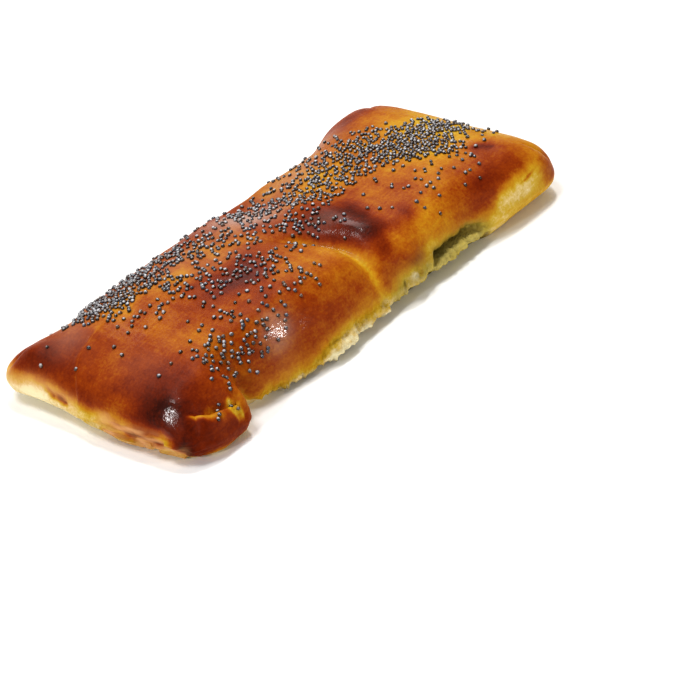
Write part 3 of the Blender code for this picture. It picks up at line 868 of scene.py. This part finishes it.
def crumb_of(x, y, z):
    """1 on torn crumb, 0 on glazed crust."""
    wide = ramp(x, *WIDE_TEAR)
    edge = mix(THIN_RIM, TEAR_RIM, wide) - CRUMB_DROP + waves(x, y, z, CRUMB_WOBBLE)
    torn = torn_stretch(x) * before(z, (edge, edge + CRUMB_SOFTNESS))
    opened = seam_stretch(x) * before(z, SEAM_CRUMB_TOP)
    knob = bump(x, *KNOB) * bump(z, *KNOB_CRUMB) + patch(x, z, *PALE_KNOB)
    return np.clip(on_torn_side(y) * (torn + opened + knob) + TORN_FLAP_CRUMB * flap_of(x, y, z), 0, 1)


def relief(x, y, z):
    """Lumps, wrinkles and tears that stand out of the plain form, in millimetres along the normal."""
    low = before(z, LOW_SIDE) * ramp(z, *LOW_SIDE_FOOT)
    flakes = FLAKE_RISE * ramp(waves(x, y, z, FLAKES), *FLAKE_EDGE)
    flakes = flakes * on_near_end(x) * between(y, *FLAKE_STRETCH)
    fold = FOLD_LINE_DEPTH * fold_line(x, y) + FOLD_STEP_DEPTH * left_of_fold(x, y, FOLD_STEP)
    crust = waves(x, y, z, LUMPS) + low * (waves(x, y, z, LAYERS) + flakes) - fold * ramp(z, *FOLD_FOOT)
    teeth = TEETH_HEIGHT * np.abs(waves(x, y, z, TEETH)) - TEETH_DROP
    pleats = waves(x, y, z, PLEATS) * on_torn_side(y) * seam_stretch(x)
    torn = waves(x, y, z, FIBRES) + teeth + pleats
    height = mix(crust, torn, crumb_of(x, y, z)) + SEAM_FOLD_RISE * seam_fold(x, y, z)
    return height - SLIT_DEPTH * slit_of(x, y, z) + TORN_FLAP_RISE * flap_of(x, y, z)


def crust_shell():
    """Points of a cube of half size 1 and its faces: a top sheet, sides in rings, and a base of rings."""
    u = np.linspace(-1.0, 1.0, CELLS_ALONG + 1)
    v = np.linspace(-1.0, 1.0, CELLS_ACROSS + 1)
    top = [(a, b, 1.0) for a in u for b in v]
    across = CELLS_ACROSS + 1
    ring = [i * across for i in range(CELLS_ALONG + 1)]
    ring = ring + [CELLS_ALONG * across + j for j in range(1, across)]
    ring = ring + [i * across + across - 1 for i in range(CELLS_ALONG - 1, -1, -1)]
    ring = ring + [j for j in range(across - 2, 0, -1)]
    points = list(top)
    rings = [list(ring)]
    for level in range(1, CELLS_UP + 1):
        w = 1.0 - 2.0 * level / CELLS_UP
        rings.append([len(points) + k for k in range(len(ring))])
        points.extend((top[k][0], top[k][1], w) for k in ring)
    for step in range(1, BASE_RINGS):
        size = 1.0 - step / BASE_RINGS
        rings.append([len(points) + k for k in range(len(ring))])
        points.extend((top[k][0] * size, top[k][1] * size, -1.0) for k in ring)
    faces = []
    for i in range(CELLS_ALONG):
        for j in range(CELLS_ACROSS):
            corner = i * across + j
            faces.append((corner, corner + across, corner + across + 1, corner + 1))
    count = len(ring)
    for upper, lower in zip(rings, rings[1:]):
        for k in range(count):
            after = (k + 1) % count
            faces.append((upper[k], lower[k], lower[after], upper[after]))
    middle = len(points)
    points.append((0.0, 0.0, -1.0))
    for k in range(count):
        faces.append((rings[-1][k], middle, rings[-1][(k + 1) % count]))
    return np.array(points), faces


# Places where the crust lies flatter and catches the light: place, normal, reach and share
FACETS = (
    ((-35.8, -24.7, 16.3), (-0.15, -0.83, 0.53), 4.2, 0.60),
    ((-73.8, -19.5, 12.1), (-0.74, -0.31, 0.59), 4.2, 0.85),
    ((3.7, -16.3, 20), (-0.51, -0.06, 0.86), 4, 0.50),
)
FACET_STEEPNESS = 4


def flatten(points):
    """Draws the points near each facet toward its plane."""
    for place, normal, reach, share in FACETS:
        place = np.array(place)
        normal = np.array(normal) / np.linalg.norm(normal)
        near = np.exp(-((np.linalg.norm(points - place, axis=1) / reach) ** FACET_STEEPNESS))
        points = points + (share * near * ((place - points) @ normal))[:, None] * normal
    return points


def add_values(data, name, values):
    attribute = data.attributes.new(name, "FLOAT", "POINT")
    attribute.data.foreach_set("value", np.asarray(values, np.float32))


def normals_of(data):
    found = np.zeros(len(data.vertices) * 3)
    data.vertices.foreach_get("normal", found)
    return found.reshape(-1, 3)


def put(name, data):
    """Makes an object of the data and puts it in the scene."""
    made = bpy.data.objects.new(name, data)
    bpy.context.scene.collection.objects.link(made)
    return made


def add_piece(name, data, material):
    """Makes a smooth object of the mesh and puts it in the scene."""
    data.shade_smooth()
    data.materials.append(material)
    return put(name, data)


# Values on the crust's points, which its material reads by these names
CRUST_VALUES = {
    "bake": bake_of,
    "crumb": crumb_of,
    # painted sheen: greyish reflection painted into the colour
    "painted_sheen": painted_sheen_of,
    "rim": rim_of,
    # painted shade: dark olive in the hollow of the seam and under the torn lip
    "painted_shade": painted_shade_of,
    "sallow": sallow_of,
    "gloss": gloss_of,
}


def build_crust(material):
    cube, faces = crust_shell()
    x, y, z = loaf_form(cube[:, 0], cube[:, 1], cube[:, 2])
    plain = np.stack([x, y, z], -1)
    data = bpy.data.meshes.new("crust")
    data.from_pydata((plain * MM).tolist(), [], faces)
    data.update()
    push = relief(x, y, z) * ramp(z, *BASE_FREE)
    moved = flatten(plain + push[:, None] * normals_of(data))
    data.vertices.foreach_set("co", (moved * MM).ravel())
    data.update()
    for name, value_of in CRUST_VALUES.items():
        add_values(data, name, value_of(x, y, z))
    return add_piece("crust", data, material)


# Poppy seeds: patches as number, middle, reach and turn, places kept bare of those, and seeds that lie alone
SEED_PATCHES = (
    (420, -48, 19.5, 7, 3.4, -18), (300, -40, 18, 8, 4, -15),
    (160, -29, 15.5, 8, 4.5, -10), (50, -42, 7, 8, 2.5, 0),
    (130, -29, -4, 8, 4.5, -25), (82, -51, -19, 6, 3.6, 0),
    (34, -44, -24, 4.5, 2.5, 0), (38, -33, -20, 10, 2.2, 0),
    (40, -24, -14, 9, 5, 0), (14, -14, -11, 6, 4, 0),
    (130, -12, 8, 10, 7, 0), (60, 3, -5, 4, 5, -20),
    (250, 20, 9.5, 13, 5.5, 0), (70, 8, 16, 10, 5, 0),
    (430, 47, -3, 6.2, 2.7, -66), (250, 61.5, -3.2, 3.8, 2.7, -16),
    (60, 54, -1.5, 5, 3, 0), (130, 27, 1.5, 9, 3.5, -10),
    (80, 41, -2, 5, 3, -40), (70, 52.5, -11.5, 3.5, 2.5, 0),
    (40, 63.5, -9.5, 3, 3, 0), (40, 56, 3.5, 4, 2.5, 0),
    (60, -57.5, 18.5, 4, 2.5, -20), (36, 66.5, -8.5, 4, 3, -20),
    (140, 42, 7, 7, 4, 0), (70, 34, 13, 9, 5, 0), (56, 52, -16, 9, 4, 0),
    (34, 38, -19, 9, 6, 0), (84, -5, 20, 26, 5, -4),
)
BARE_PATCHES = (
    ((-32, 10.5), 3.4), ((-46.5, 11), 2.6), ((24, -5), 2.6),
    ((57, 22), 9), ((31, -34.5), 4.5), ((68, 20), 9), ((-70, 17), 9),
    ((-71, 29), 6),
)
LONE_SEEDS = (
    (-70, 24), (-66.5, 12.5), (-74, 23), (-72, 12.5), (-64, 6), (-58, 10), (-58.5, 6),
    (-55, 3), (-54.5, 8), (-65.5, 2), (-63, -12), (-48.5, 2.5), (-49, -6),
    (-60.6, -27.6), (-63, -25.7), (-58.6, -26.2), (-65.3, -27.6), (-66.4, -28.1), (-60, -29),
    (-64.4, -26.4), (17, -13.5), (18.5, -16.5),
)
SEED_PLACE_DRAW = 23
SEED_LOOK_DRAW = 31
SEED_GAP = 0.84
STEEPEST_SEEDED = 0.3
ABOVE_LOAF = 40

# One seed: its size, its bend and the dent in it, how far seeds vary, and where their glints lie, painted as
# a pale patch in the colour on the side toward the lamps
SEED_SIZE = (1.22, 1.02, 0.92)
RINGS = 5
SPOKES = 8
SEED_BEND = 0.35
SEED_DENT = 0.10
SEED_DENT_REACH = 0.16
SEED_SIZES = (0.88, 1.12)
SEED_LEAN_X = (-0.5, 0.5)
SEED_LEAN_Y = (-0.4, 0.4)
SEED_SUNK = (0.12, 0.34)
GLINT_X = (-0.6, 0.2)
GLINT_Y = (-0.2, 0.6)
GLINT_SHARE = (0.2, 1)
GLINT_EDGE = (0.74, 0.98)


def seed_form():
    """One kidney-shaped seed about its middle, of unit size: points and triangles."""
    points = [(0.0, 0.0, 0.5)]
    for ring in range(1, RINGS):
        polar = math.pi * ring / RINGS
        for spoke in range(SPOKES):
            turn = 2.0 * math.pi * spoke / SPOKES
            x = 0.5 * math.sin(polar) * math.cos(turn)
            y = 0.5 * math.sin(polar) * math.sin(turn)
            dent = SEED_DENT * math.exp(-((x / SEED_DENT_REACH) ** 2)) * max(-y, 0.0)
            points.append((x, y + SEED_BEND * x * x - dent, 0.5 * math.cos(polar)))
    points.append((0.0, 0.0, -0.5))
    faces = []
    for spoke in range(SPOKES):
        after = (spoke + 1) % SPOKES
        faces.append((0, 1 + spoke, 1 + after))
        last = 1 + (RINGS - 2) * SPOKES
        faces.append((len(points) - 1, last + after, last + spoke))
        for ring in range(RINGS - 2):
            a = 1 + ring * SPOKES
            b = a + SPOKES
            faces.append((a + spoke, b + spoke, b + after))
            faces.append((a + spoke, b + after, a + after))
    return np.array(points), np.array(faces)


def wanted_seeds():
    """Places for seeds before the crust is looked at: the lone ones, then those drawn in patches."""
    draw = random.Random(SEED_PLACE_DRAW)
    wanted = list(LONE_SEEDS)
    for number, middle_x, middle_y, reach_x, reach_y, turn in SEED_PATCHES:
        angle = math.radians(turn)
        for _ in range(number):
            along = draw.gauss(0.0, reach_x)
            across = draw.gauss(0.0, reach_y)
            x = middle_x + along * math.cos(angle) - across * math.sin(angle)
            y = middle_y + along * math.sin(angle) + across * math.cos(angle)
            if not any(math.hypot(x - bare[0], y - bare[1]) < span for bare, span in BARE_PATCHES):
                wanted.append((x, y))
    return wanted


def seed_places(crust):
    """Places on the crust where a seed lies clear of the others, with the crust's normal there."""
    places = []
    for x, y in wanted_seeds():
        hit, point, normal, _ = crust.ray_cast(Vector((x, y, ABOVE_LOAF)) * MM, Vector((0, 0, -1)))
        if not hit or normal.z < STEEPEST_SEEDED:
            continue
        if not any((point - other).length < SEED_GAP * MM for other, _ in places):
            places.append((point, normal))
    return places


def build_seeds(crust, material):
    draw = random.Random(SEED_LOOK_DRAW)
    form, triangles = seed_form()
    points = []
    faces = []
    tones = []
    painted_glints = []
    for number, (point, normal) in enumerate(seed_places(crust)):
        size = draw.uniform(*SEED_SIZES)
        lean = Matrix.Rotation(draw.uniform(*SEED_LEAN_X), 4, "X")
        lean = lean @ Matrix.Rotation(draw.uniform(*SEED_LEAN_Y), 4, "Y")
        stand = normal.to_track_quat("Z", "Y").to_matrix().to_4x4()
        turn = Matrix.Rotation(draw.uniform(0.0, 2.0 * math.pi), 4, "Z")
        scale = Matrix.Diagonal([size * span * MM for span in SEED_SIZE] + [1.0])
        centre = point + normal * SEED_SIZE[2] * size * draw.uniform(*SEED_SUNK) * MM
        place = np.array(Matrix.Translation(centre) @ stand @ turn @ lean @ scale)
        turned = form @ place[:3, :3].T
        points.append(turned + place[:3, 3])
        faces.append(triangles + number * len(form))
        tones.append(np.full(len(form), draw.random()))
        # Painted highlight: pale colour on the side of the seed toward the lamps, kept as the values named
        # pale
        glint = np.array([draw.uniform(*GLINT_X), draw.uniform(*GLINT_Y), 1.0])
        facing = turned @ (glint / np.linalg.norm(glint)) / (0.5 * SEED_SIZE[2] * MM)
        painted_glints.append(draw.uniform(*GLINT_SHARE) * ramp(facing, *GLINT_EDGE))
    data = bpy.data.meshes.new("poppy_seeds")
    data.from_pydata(np.concatenate(points).tolist(), [], np.concatenate(faces).tolist())
    data.update()
    add_values(data, "tone", np.concatenate(tones))
    add_values(data, "pale", np.concatenate(painted_glints))
    return add_piece("poppy_seeds", data, material)


class Shader:
    """Short words for building a material's nodes."""

    def __init__(self, name):
        self.material = bpy.data.materials.new(name)
        self.material.use_nodes = True
        self.tree = self.material.node_tree
        self.surface = self.tree.nodes["Principled BSDF"]
        self.place = self.node("ShaderNodeTexCoord").outputs["Object"]

    def node(self, kind, **settings):
        made = self.tree.nodes.new(kind)
        for name, value in settings.items():
            setattr(made, name, value)
        return made

    def feed(self, target, value):
        """Sets a socket to a number, or links another socket to it."""
        if isinstance(value, (int, float)):
            target.default_value = value
        else:
            self.tree.links.new(value, target)

    def finish(self, **inputs):
        """Sets or links the surface's inputs, named with _ for a space, and returns the material."""
        for name, value in inputs.items():
            self.feed(self.surface.inputs[name.replace("_", " ")], value)
        return self.material

    def values(self, name):
        return self.node("ShaderNodeAttribute", attribute_name=name).outputs["Fac"]

    def math(self, operation, first, second, clamp=False):
        made = self.node("ShaderNodeMath", operation=operation, use_clamp=clamp)
        self.feed(made.inputs[0], first)
        self.feed(made.inputs[1], second)
        return made.outputs[0]

    def total(self, *terms):
        """Sum of terms, each a value or a pair of value and share."""
        sums = [self.math("MULTIPLY", *term) if isinstance(term, tuple) else term for term in terms]
        while len(sums) > 1:
            sums[:2] = [self.math("ADD", *sums[:2])]
        return sums[0]

    def noise(self, scale, detail, rough, stretch=(1.0, 1.0, 1.0), turn=0.0):
        """Noise from -0.5 to 0.5, turned about the upright axis and stretched."""
        mapping = self.node("ShaderNodeMapping")
        mapping.inputs["Scale"].default_value = stretch
        mapping.inputs["Rotation"].default_value = (0.0, 0.0, turn)
        self.feed(mapping.inputs["Vector"], self.place)
        made = self.node("ShaderNodeTexNoise")
        made.inputs["Scale"].default_value = scale
        made.inputs["Detail"].default_value = detail
        made.inputs["Roughness"].default_value = rough
        self.feed(made.inputs["Vector"], mapping.outputs[0])
        return self.math("SUBTRACT", made.outputs[0], 0.5)

    def ramp(self, value, stops):
        made = self.node("ShaderNodeValToRGB")
        line = made.color_ramp
        while len(line.elements) < len(stops):
            line.elements.new(1.0)
        for element, (place, colour) in zip(line.elements, stops):
            element.position = place
            element.color = colour + (1.0,)
        self.feed(made.inputs[0], value)
        return made.outputs[0]

    def mixed(self, share, first, second):
        """A colour socket mixed with a plain colour."""
        made = self.node("ShaderNodeMix", data_type="RGBA")
        self.feed(made.inputs[0], share)
        self.feed(made.inputs[6], first)
        made.inputs[7].default_value = second + (1.0,)
        return made.outputs[2]

    def relief(self, height, depth, after=None):
        """A bump of the depth in metres, over another one where it is given."""
        made = self.node("ShaderNodeBump")
        made.inputs["Distance"].default_value = depth
        self.feed(made.inputs["Height"], height)
        if after is not None:
            self.feed(made.inputs["Normal"], after)
        return made.outputs[0]


def linear(red, green, blue):
    """A colour given as 0 to 255 on screen, as the shader wants it: the sRGB curve turned back."""
    shares = [channel / 255.0 for channel in (red, green, blue)]
    return tuple(s / 12.92 if s <= 0.04045 else ((s + 0.055) / 1.055) ** 2.4 for s in shares)


# Colours of the crust by its browning, and of the places where other values take over
CRUST_STOPS = (
    (0.00, linear(250, 237, 192)),
    (0.10, linear(232, 205, 142)),
    (0.20, linear(212, 176, 66)),
    (0.28, linear(202, 156, 34)),
    (0.38, linear(192, 130, 24)),
    (0.50, linear(174, 98, 15)),
    (0.62, linear(148, 62, 5)),
    (0.75, linear(120, 40, 3)),
    (0.88, linear(94, 27, 3)),
    (1.00, linear(56, 14, 4)),
)
TAN = linear(222, 166, 112)
SALLOW = linear(198, 178, 84)
# Painted sheen: greyish reflection painted into the crust's colour
PAINTED_SHEEN_GREY = linear(196, 162, 146)
# Painted shade: dark olive for the hollow of the seam and under the torn lip
PAINTED_SHADE_OLIVE = linear(58, 48, 12)

# Textures of the crust: scale, detail, roughness, stretch and turn of a noise, then how much of each goes in
MOTTLE = (170.0, 4.0, 0.6)
BLOTCHES = (60.0, 3.0, 0.5)
STREAKS = (420.0, 3.0, 0.6, (1.0, 0.12, 1.0), 0.3)
LINES = (1000.0, 2.0, 0.6, (0.12, 1.0, 1.0), -0.6)
GRAIN = (1400.0, 2.0, 0.6)
PORES = (900.0, 4.0, 0.7, (1.0, 1.0, 0.5))
SPECKLE = (1300.0, 2.0, 0.6, (0.45, 1.0, 1.0))
ROUGH_SPOTS = (260.0, 3.0, 0.55)
MOTTLE_SHARE = 0.30
BLOTCH_SHARE = 0.18
STREAK_SHARE = 0.15
LINE_SHARE = 0.12
GRAIN_SHARE = 0.20
SKIN_GRAIN = 0.7

# Finish of the crust, with depths in metres
CRUST_ROUGHNESS = 0.46
CRUMB_ROUGHER = 0.35
GLOSS_SMOOTHER = -0.34
SPOTS_ROUGHER = 0.14
CRUST_IOR = 1.19
SKIN_DEPTH = 0.00016
PORE_DEPTH = 0.0010
SPECKLE_DEPTH = 0.00008
COAT_SHARE = 0.9
COAT_ROUGHNESS = 0.11
COAT_IOR = 1.5


def crust_material():
    shader = Shader("glazed_crust")
    crumb = shader.values("crumb")
    gloss = shader.values("gloss")
    streaks = shader.noise(*STREAKS)
    grain = shader.noise(*GRAIN)
    mottle = shader.total((shader.noise(*MOTTLE), MOTTLE_SHARE), (shader.noise(*BLOTCHES), BLOTCH_SHARE),
                          (streaks, STREAK_SHARE), (grain, GRAIN_SHARE), (shader.noise(*LINES), LINE_SHARE))
    colour = shader.ramp(shader.math("ADD", shader.values("bake"), mottle, clamp=True), CRUST_STOPS)
    # The painted sheen and the painted shade are mixed in here, with the tan and sallow of the crust itself
    for name, tint in (("painted_sheen", PAINTED_SHEEN_GREY), ("rim", TAN), ("sallow", SALLOW), ("painted_shade", PAINTED_SHADE_OLIVE)):
        colour = shader.mixed(shader.values(name), colour, tint)
    spots = shader.noise(*ROUGH_SPOTS)
    rough = shader.total((crumb, CRUMB_ROUGHER), (gloss, GLOSS_SMOOTHER), (spots, SPOTS_ROUGHER))
    glaze = shader.math("SUBTRACT", 1.0, crumb)
    skin = shader.math("MULTIPLY", shader.total((grain, SKIN_GRAIN), streaks), glaze)
    pores = shader.math("MULTIPLY", shader.noise(*PORES), crumb)
    return shader.finish(
        Base_Color=colour,
        Roughness=shader.math("ADD", rough, CRUST_ROUGHNESS),
        IOR=CRUST_IOR,
        Normal=shader.relief(pores, PORE_DEPTH, shader.relief(skin, SKIN_DEPTH)),
        Coat_Normal=shader.relief(shader.noise(*SPECKLE), SPECKLE_DEPTH),
        Coat_Weight=shader.math("MULTIPLY", gloss, COAT_SHARE),
        Coat_Roughness=COAT_ROUGHNESS,
        Coat_IOR=COAT_IOR,
    )


# Colours of the seeds, from one seed to the next, the pits in them, and their finish
SEED_STOPS = (
    (0.00, linear(22, 16, 12)),
    (0.22, linear(64, 38, 24)),
    (0.42, linear(32, 25, 25)),
    (0.66, linear(58, 64, 82)),
    (0.84, linear(80, 72, 66)),
    (1.00, linear(98, 66, 44)),
)
# Painted highlight: the pale colour of the glint painted on each seed
PAINTED_GLINT = linear(214, 213, 216)
PITS = (4200.0, 2.0, 0.6)
PIT_SHADE = 0.9
PIT_DEPTH = 0.00010
SEED_ROUGHNESS = 0.26
SEED_IOR = 1.7


def seed_material():
    shader = Shader("poppy_seed")
    pits = shader.noise(*PITS)
    shade = shader.math("ADD", shader.values("tone"), shader.math("MULTIPLY", pits, PIT_SHADE), clamp=True)
    # The pale values mix a painted highlight into the seed's colour
    colour = shader.mixed(shader.values("pale"), shader.ramp(shade, SEED_STOPS), PAINTED_GLINT)
    normal = shader.relief(pits, PIT_DEPTH)
    return shader.finish(Base_Color=colour, Roughness=SEED_ROUGHNESS, IOR=SEED_IOR, Normal=normal)


# Studio: a pale floor, a dim world, and round lamps as name, direction, distance, width and power
FLOOR_REACH = 3.0
FLOOR_COLOUR = (0.97, 0.97, 0.97, 1.0)
FLOOR_ROUGHNESS = 0.9
FLOOR_IOR = 1.3
WORLD_COLOUR = (1.0, 0.98, 0.94, 1.0)
WORLD_STRENGTH = 0.25
LAMPS = (
    ("overhead_box", (-0.22, 0.17, 0.94), 1.0, 0.34, 3.7),
    ("rear_box", (0.32, 0.16, 0.93), 1.0, 0.12, 2.8),
    ("back_box", (0.55, 0.45, 0.70), 1.0, 0.60, 2.5),
    ("right_box", (0.25, -0.91, 0.33), 0.6, 0.04, 0.50),
    ("left_box", (-0.86, -0.02, 0.52), 0.6, 0.045, 0.65),
)


def floor_material():
    shader = Shader("pale_floor")
    shader.surface.inputs["Base Color"].default_value = FLOOR_COLOUR
    return shader.finish(Roughness=FLOOR_ROUGHNESS, IOR=FLOOR_IOR)


def build_floor():
    data = bpy.data.meshes.new("floor")
    corners = [(x * FLOOR_REACH, y * FLOOR_REACH, 0.0) for x, y in ((-1, -1), (1, -1), (1, 1), (-1, 1))]
    data.from_pydata(corners, [], [(0, 1, 2, 3)])
    data.materials.append(floor_material())
    floor = put("floor", data)


def add_lights():
    world = bpy.data.worlds.new("studio")
    world.use_nodes = True
    ground = world.node_tree.nodes["Background"]
    ground.inputs["Color"].default_value = WORLD_COLOUR
    ground.inputs["Strength"].default_value = WORLD_STRENGTH
    bpy.context.scene.world = world
    for name, toward, distance, size, power in LAMPS:
        light = bpy.data.lights.new(name, "AREA")
        light.shape = "DISK"
        light.size = size
        light.energy = power
        place = Vector(toward).normalized() * distance
        lamp = put(name, light)
        lamp.matrix_world = Matrix.Translation(place) @ place.to_track_quat("Z", "Y").to_matrix().to_4x4()


# Camera: its place in metres, the directions to its right, up and back, and its lens in millimetres
CAMERA_PLACE = (-0.34935, -0.3160, 0.3017)
CAMERA_RIGHT = (0.5904, -0.7999, -0.1075)
CAMERA_UP = (0.5117, 0.2679, 0.8163)
CAMERA_BACK = (-0.6242, -0.5369, 0.5675)
CAMERA_SENSOR = 36.0
CAMERA_LENS = 105.886


def add_camera():
    data = bpy.data.cameras.new("camera")
    data.sensor_width = CAMERA_SENSOR
    data.lens = CAMERA_LENS
    camera = put("camera", data)
    turn = Matrix((CAMERA_RIGHT, CAMERA_UP, CAMERA_BACK)).transposed().to_4x4()
    camera.matrix_world = Matrix.Translation(CAMERA_PLACE) @ turn
    bpy.context.scene.camera = camera


crust = build_crust(crust_material())
seeds = build_seeds(crust, seed_material())
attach(crust, "root")
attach(seeds, "root")
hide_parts("khachapuri")
build_floor()
add_lights()
add_camera()
bpy.context.scene.view_settings.view_transform = "Standard"
bpy.context.scene.view_settings.look = "Medium High Contrast"
